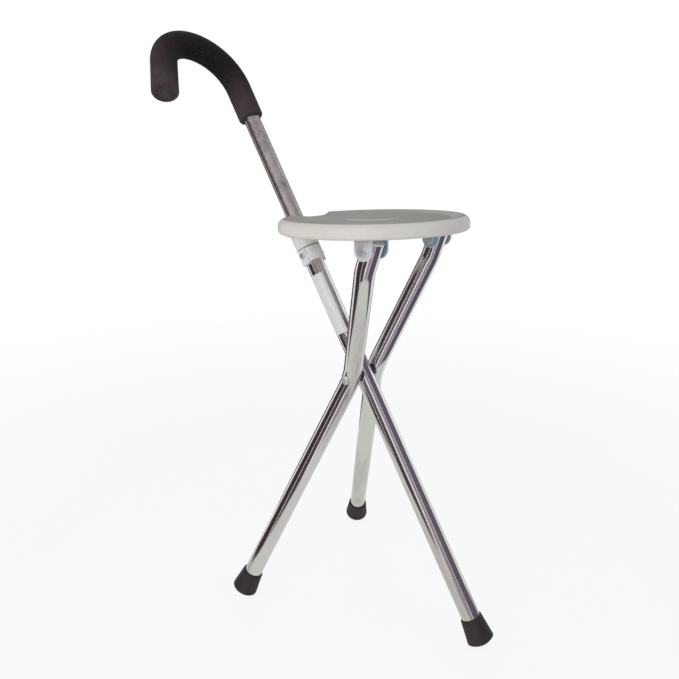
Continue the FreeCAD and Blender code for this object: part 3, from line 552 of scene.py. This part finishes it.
@dataclass(frozen=True)
class BlueZinc:
    """Stamped brackets: a painted pale glare on the outermost ear at -Y, light blue from blue_to onwards,
    partly the zinc's own colour and partly painted reflection.
    """

    name: str
    # The pale colour doubles as a painted glare on the outermost ear.
    pale: Colour = (0.88, 0.875, 0.88)
    blue: Colour = (0.26, 0.52, 0.66)
    blue_from: float = -0.066
    blue_to: float = -0.052
    crystal_scale: float = 420.0
    clouds: Pattern = Pattern(55.0, 4.0, 0.6)
    cloud_relief: Relief = Relief(0.0001, 0.5)

    def build(self) -> bpy.types.Material:
        """Makes the material."""
        graph = Graph(self.name)
        clouds = graph.noise(self.clouds)
        crystals = graph.cells(self.crystal_scale, "SMOOTH_F1")
        # Painted light along Y: the outermost ear stays pale as a painted glare; further in, the colour
        # turns blue, partly zinc and partly painted reflection.
        beyond_glare = graph.along(1).ramp(self.blue_from, self.blue_to)
        tone = beyond_glare * 0.62 + clouds.ramp(0.45, 0.80) * (0.12 + beyond_glare * 0.28) + crystals * 0.08
        colour = graph.mix(tone.least(1.0), self.pale, self.blue)
        roughness = 0.26 + clouds * 0.18 + crystals * 0.06
        return graph.finish(colour, roughness, graph.bump(clouds, self.cloud_relief), Metallic=0.35)


class Finish(Enum):
    """Every finish on the object."""

    BRIGHT_STICK = PlatedTube("bright_stick_tube", -STICK_LEAN)
    BRIGHT_LEG = PlatedTube("bright_leg_tube", LEG_LEAN)
    BRUSHED = BrushedTube("brushed_upper_tube", -STICK_LEAN)
    FOAM = Foam("handle_foam")
    RUBBER = Rubber("foot_rubber")
    SEAT = SeatPlastic("seat_moulding")
    FITTING = GreyPlastic("fitting_plastic")
    PLUG = DarkPlastic("plug_plastic")
    ZINC = ZincSteel("zinc_steel")
    BRACKET = BlueZinc("bracket_zinc")
    LABEL = LabelFilm("blank_film")

    def material(self) -> bpy.types.Material:
        """The finish's material, made the first time it is asked for."""
        return bpy.data.materials.get(self.value.name) or self.value.build()


def dress(nodes: Iterable[str], finish: Finish) -> None:
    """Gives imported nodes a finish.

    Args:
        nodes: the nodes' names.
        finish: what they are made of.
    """
    for name in nodes:
        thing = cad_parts[name]
        thing.data.materials.clear()
        thing.data.materials.append(finish.material())
        log.info("dressed %s with %s", name, finish.value.name)


def add_piece(name: str, mesh: bpy.types.Mesh, body: str, finish: Finish,
              replaced: Sequence[str] = ()) -> bpy.types.Object:
    """Puts a finished mesh into the scene and onto its body.

    Args:
        name: the piece's name.
        mesh: its mesh, in the row frame.
        body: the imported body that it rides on.
        finish: what it is made of.
        replaced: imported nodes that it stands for.

    Returns:
        The object.
    """
    thing = bpy.data.objects.new(name, mesh)
    bpy.context.scene.collection.objects.link(thing)
    mesh.materials.append(finish.material())
    mesh.shade_smooth()
    mesh.set_sharp_from_angle(angle=SHARP_ANGLE)
    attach(thing, body)
    if replaced:
        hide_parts(*replaced)
    log.info("made %s on %s with %d faces", name, body, len(mesh.polygons))
    return thing


@dataclass
class Grip:
    """The foam sleeve over the hooked handle.

    Its centre line begins at start, in metres up the stick from the crossing, and is straight up to
    straight_end. Then it turns over, first wide and then tighter, and ends in a straight nose.
    """

    start: float = 0.345
    straight_end: float = 0.386
    first_radius: float = 0.056
    first_turn: float = math.radians(90.0)
    second_radius: float = 0.045
    second_turn: float = math.radians(68.0)
    nose: float = 0.042
    overhang: float = 0.003
    radius: float = 0.0155
    bore: float = 0.010
    rounding: float = 0.003
    step: float = 0.0016
    around: int = 72
    lip_steps: int = 6
    bore_stride: int = 3
    ripple: float = 0.00018
    ripple_waves: tuple[float, float] = (3.0, 2.0)
    ripple_twists: tuple[float, float] = (0.05, -0.083)
    ripple_offset: float = 1.3
    softness: float = 0.95

    def route(self) -> list[Triple]:
        """The centre line as (sideways, up the stick, heading) at even steps.

        Returns:
            Points in the stick's own plane; the heading is 0 up the stick and grows towards -Y.
        """
        runs = [(self.straight_end - self.start, 0.0),
                (self.first_radius * self.first_turn, self.first_radius),
                (self.second_radius * self.second_turn, self.second_radius),
                (self.nose + self.overhang, 0.0)]
        side, rise, heading = 0.0, self.start, 0.0
        points = [(side, rise, heading)]
        for length, radius in runs:
            count = max(1, round(length / self.step))
            for _ in range(count):
                move = length / count
                turn = move / radius if radius else 0.0
                chord = 2.0 * radius * math.sin(turn / 2.0) if radius else move
                heading += turn / 2.0
                side -= chord * math.sin(heading)
                rise += chord * math.cos(heading)
                heading += turn / 2.0
                points.append((side, rise, heading))
        return points

    def frame_at(self, point: Triple) -> Matrix:
        """A frame on the centre line with its Z along the sleeve.

        Args:
            point: sideways, up the stick, and heading.

        Returns:
            The frame in the row's coordinates.
        """
        side, rise, heading = point
        stick = Matrix.Translation(CROSSING) @ Matrix.Rotation(-STICK_LEAN, 4, "Y")
        return stick @ Matrix.Translation((0.0, side, rise)) @ Matrix.Rotation(heading, 4, "X")

    def rings(self) -> list[tuple[Matrix, float]]:
        """Each ring of the sleeve's skin: its frame and its radius, from bore to bore over the outside."""
        route = self.route()
        first, last = route[0], route[-1]
        found = [(self.frame_at(first), self.bore)]
        turns = [math.pi / 2 * step / self.lip_steps for step in range(self.lip_steps + 1)]
        lip = [(math.sin(turn), 1.0 - math.cos(turn)) for turn in turns]
        for sine, rest in lip:
            move = Matrix.Translation((0.0, 0.0, self.rounding * rest))
            found.append((self.frame_at(first) @ move, self.radius - self.rounding * (1.0 - sine)))
        skip = math.ceil(self.rounding / self.step) + 1
        for point in route[skip:-skip]:
            found.append((self.frame_at(point), self.radius))
        for sine, rest in reversed(lip):
            move = Matrix.Translation((0.0, 0.0, -self.rounding * rest))
            found.append((self.frame_at(last) @ move, self.radius - self.rounding * (1.0 - sine)))
        found.append((self.frame_at(last), self.bore))
        return found + [(self.frame_at(point), self.bore) for point in route[-2:0:-self.bore_stride]]

    def wobble(self, turn: float, ring: int) -> float:
        """How far the soft skin departs from round, in metres."""
        first, second = [waves * turn + twist * ring
                         for waves, twist in zip(self.ripple_waves, self.ripple_twists)]
        return -self.ripple * (1.0 + 0.5 * (math.sin(first) + math.sin(second + self.ripple_offset)))

    def build(self) -> None:
        """Makes the sleeve."""
        mesh = bpy.data.meshes.new("foam_sleeve")
        work = bmesh.new()
        rows = []
        for number, (place, radius) in enumerate(self.rings()):
            row = []
            for step in range(self.around):
                turn = 2.0 * math.pi * step / self.around
                reach = radius + (self.wobble(turn, number) if radius > self.bore else 0.0)
                point = Vector((reach * math.cos(turn), reach * math.sin(turn), 0.0))
                row.append(work.verts.new(place @ point))
            rows.append(row)
        for low, high in zip(rows, rows[1:] + rows[:1]):
            for step in range(self.around):
                after = (step + 1) % self.around
                work.faces.new((low[step], low[after], high[after], high[step]))
        bmesh.ops.recalc_face_normals(work, faces=work.faces)
        work.to_mesh(mesh)
        work.free()
        sleeve = add_piece("foam_sleeve", mesh, "stick", Finish.FOAM, ("foam_grip",))


@dataclass
class Stick:
    """The two tubes, the collar between them, the label and the foot."""

    def build(self) -> None:
        """Dresses the stick's nodes and makes the grip."""
        dress(("main_tube",), Finish.BRIGHT_STICK)
        dress(("crook_tube",), Finish.BRUSHED)
        dress(("stop_collar",), Finish.FITTING)
        dress(("collar_screw", "collar_nut", "cross_pin", "cross_pin_cap",
               "stick_ferrule_washer"), Finish.ZINC)
        dress(("grip_end_plug", "crossing_spacers"), Finish.PLUG)
        dress(("blank_label",), Finish.LABEL)
        dress(("stick_ferrule",), Finish.RUBBER)
        Grip().build()


@dataclass
class Legs:
    """The two bent legs with their caps and feet."""

    sides: tuple[str, str] = ("front", "rear")

    def build(self) -> None:
        """Dresses both legs."""
        for side in self.sides:
            dress((f"{side}_leg_tube",), Finish.BRIGHT_LEG)
            dress((f"{side}_leg_ferrule",), Finish.RUBBER)
            dress((f"{side}_leg_ferrule_washer",), Finish.ZINC)
            dress((f"{side}_leg_top_plug",), Finish.FITTING)


@dataclass
class Seat:
    """The moulded seat, its brackets and fasteners, and the sliding hub."""

    def build(self) -> None:
        """Dresses the seat's nodes."""
        dress(("seat_shell",), Finish.SEAT)
        dress(("slide_hub",), Finish.FITTING)
        dress(("front_bracket", "rear_bracket"), Finish.BRACKET)
        dress(("bracket_screws", "pivot_bolts", "pivot_nuts", "trunnion_pins"), Finish.ZINC)


@dataclass(frozen=True)
class Lamp:
    """A large soft lamp: its name, where it hangs, its watts and its colour."""

    name: str
    place: Triple
    power: float
    colour: Colour


@dataclass(frozen=True)
class Flag:
    """A dark card: its first and last azimuth in degrees, counted from the camera, and its colour."""

    begin: float
    end: float
    shade: Colour


@dataclass(frozen=True)
class Studio:
    """A pale floor, soft lamps, cards that only mirrors see, and the photograph's camera."""

    target: Triple = (0.0106, -0.0186, 0.3367)
    distance: float = 0.737
    azimuth: float = math.radians(49.69)
    elevation: float = math.radians(16.95)
    lens: float = 33.0
    sensor: float = 36.0
    clip: tuple[float, float] = (0.02, 40.0)
    surround: Colour = (0.43, 0.43, 0.43)
    floor_size: float = 40.0
    floor_colour: Colour = (0.86, 0.86, 0.86)
    floor_roughness: float = 0.9
    floor_glow: float = 0.87
    glow_grows: tuple[float, float] = (0.40, 1.6)
    lamp_size: float = 1.2
    lamp_aim: Triple = (0.0, 0.0, 0.35)
    lamps: tuple[Lamp, ...] = (
        Lamp("key", (0.3, -2.1, 1.2), 20.0, (1.0, 0.985, 0.96)),
        Lamp("fill", (2.0, 0.3, 0.9), 4.0, (0.80, 0.84, 1.0)),
        Lamp("back", (-1.4, 1.4, 1.6), 5.0, WHITE),
    )
    flags: tuple[Flag, ...] = (
        Flag(-104.0, -52.0, (0.060, 0.036, 0.040)),
        Flag(-48.0, -15.0, (0.085, 0.055, 0.062)),
        Flag(-2.0, 24.0, (0.34, 0.31, 0.35)),
        Flag(29.0, 96.0, (0.13, 0.10, 0.145)),
        Flag(150.0, 172.0, (0.10, 0.08, 0.09)),
        Flag(195.0, 232.0, (0.085, 0.06, 0.065)),
    )
    flag_near: float = 0.42
    flag_far: float = 1.7
    flag_base: float = 0.001
    flag_top: float = 2.6
    flag_step: float = 6.0
    carpet: Colour = (0.72, 0.73, 0.69)
    carpet_height: float = 0.0008
    carpet_sides: int = 36

    def camera(self) -> None:
        """Adds the camera at the photograph's place."""
        data = bpy.data.cameras.new("camera")
        data.sensor_width = self.sensor
        data.lens = self.lens
        data.clip_start, data.clip_end = self.clip
        camera = bpy.data.objects.new("camera", data)
        bpy.context.scene.collection.objects.link(camera)
        back = Vector((math.cos(self.azimuth) * math.cos(self.elevation),
                       -math.sin(self.azimuth) * math.cos(self.elevation), math.sin(self.elevation)))
        camera.location = Vector(self.target) + back * self.distance
        camera.rotation_mode = "QUATERNION"
        camera.rotation_quaternion = (-back).to_track_quat("-Z", "Y")
        bpy.context.scene.camera = camera

    def seen_rays(self, graph: Graph) -> Value:
        """1 for rays that come straight, by gloss or through glass from the camera, else 0."""
        path = graph.node("ShaderNodeLightPath")
        rays = [Value(graph.tree, path.outputs[name])
                for name in ("Is Camera Ray", "Is Glossy Ray", "Is Transmission Ray")]
        return (rays[0] + rays[1] + rays[2]).least(1.0)

    def world(self) -> None:
        """A plain surround: white where it is seen, dimmer where it lights the object."""
        world = bpy.data.worlds.new("surround")
        bpy.context.scene.world = world
        world.use_nodes = True
        graph = Graph.of_tree(world.node_tree)
        shade = graph.mix(self.seen_rays(graph), self.surround, WHITE)
        background = graph.node("ShaderNodeBackground", None, {"Color": shade, "Strength": 1.0})
        output = graph.node("ShaderNodeOutputWorld", None, {"Surface": background.outputs[0]})
        output.is_active_output = True

    def floor(self) -> None:
        """A pale floor that keeps the object's shadow."""
        half = self.floor_size / 2.0
        mesh = bpy.data.meshes.new("floor")
        mesh.from_pydata([(-half, -half, 0.0), (half, -half, 0.0), (half, half, 0.0), (-half, half, 0.0)],
                         [], [(0, 1, 2, 3)])
        floor = bpy.data.objects.new("floor", mesh)
        bpy.context.scene.collection.objects.link(floor)
        graph = Graph("floor")
        graph.finish(self.floor_colour, self.floor_roughness)
        glow = graph.node("ShaderNodeEmission", None, {"Color": WHITE, "Strength": 1.0})
        away = Value(graph.tree, graph.node("ShaderNodeVectorMath", {"operation": "LENGTH"},
                                            {0: graph.place}).outputs["Value"])
        grown = away.ramp(*self.glow_grows) * (1.0 - self.floor_glow) + self.floor_glow
        share = self.seen_rays(graph) * grown
        mixed = graph.node("ShaderNodeMixShader", None,
                           {0: share, 1: graph.shader.outputs[0], 2: glow.outputs[0]})
        graph.surface(mixed.outputs[0])
        mesh.materials.append(graph.material)

    def card(self, name: str, points: Sequence[Triple], faces: Sequence[Sequence[int]],
             shade: Colour) -> None:
        """A studio card that only mirrors see.

        Args:
            name: its name.
            points: its corners.
            faces: the corners of each of its faces.
            shade: its colour.
        """
        mesh = bpy.data.meshes.new(name)
        mesh.from_pydata(points, [], faces)
        card = bpy.data.objects.new(name, mesh)
        bpy.context.scene.collection.objects.link(card)
        graph = Graph(name)
        glow = graph.node("ShaderNodeEmission", None, {"Color": shade, "Strength": 1.0})
        graph.surface(glow.outputs[0])
        mesh.materials.append(graph.material)
        card.visible_camera = card.visible_diffuse = card.visible_shadow = False
        card.visible_transmission = card.visible_volume_scatter = False

    def wedge(self, number: int, flag: Flag) -> None:
        """Sets up a flag as a wedge of the floor with a wall at its far end.

        Args:
            number: which flag it is.
            flag: the flag.
        """
        steps = max(2, round((flag.end - flag.begin) / self.flag_step))
        points, faces = [], []
        for step in range(steps + 1):
            turn = math.radians(flag.begin + (flag.end - flag.begin) * step / steps) - self.azimuth
            for reach, height in ((self.flag_near, self.flag_base), (self.flag_far, self.flag_base),
                                  (self.flag_far, self.flag_top)):
                points.append((reach * math.cos(turn), reach * math.sin(turn), height))
        for step in range(steps):
            for row in (3 * step, 3 * step + 1):
                faces.append((row, row + 1, row + 4, row + 3))
        self.card(f"flag_{number}", points, faces, flag.shade)

    def ground_card(self) -> None:
        """The grey that mirrors see on the floor close to the object."""
        turns = [2.0 * math.pi * step / self.carpet_sides for step in range(self.carpet_sides)]
        points = [(self.flag_near * math.cos(turn), self.flag_near * math.sin(turn), self.carpet_height)
                  for turn in turns]
        self.card("ground_card", points, [tuple(range(len(points)))], self.carpet)

    def hang(self, lamp: Lamp) -> None:
        """Hangs a lamp, aimed at the seat."""
        data = bpy.data.lights.new(lamp.name, "AREA")
        data.size = self.lamp_size
        data.energy = lamp.power
        data.color = lamp.colour
        made = bpy.data.objects.new(lamp.name, data)
        made.location = lamp.place
        made.rotation_mode = "QUATERNION"
        made.rotation_quaternion = (Vector(self.lamp_aim) - Vector(lamp.place)).to_track_quat("-Z", "Y")
        bpy.context.scene.collection.objects.link(made)

    def build(self) -> None:
        """Sets the stage."""
        bpy.context.scene.view_settings.view_transform = "Standard"
        self.world()
        self.floor()
        for number, flag in enumerate(self.flags):
            self.wedge(number, flag)
        self.ground_card()
        for lamp in self.lamps:
            self.hang(lamp)
        self.camera()


def main() -> None:
    """Builds the object piece by piece, then the studio."""
    logging.basicConfig(level=logging.INFO, format="%(name)s: %(message)s")
    Stick().build()
    Legs().build()
    Seat().build()
    Studio().build()


if __name__ == "__main__":
    main()
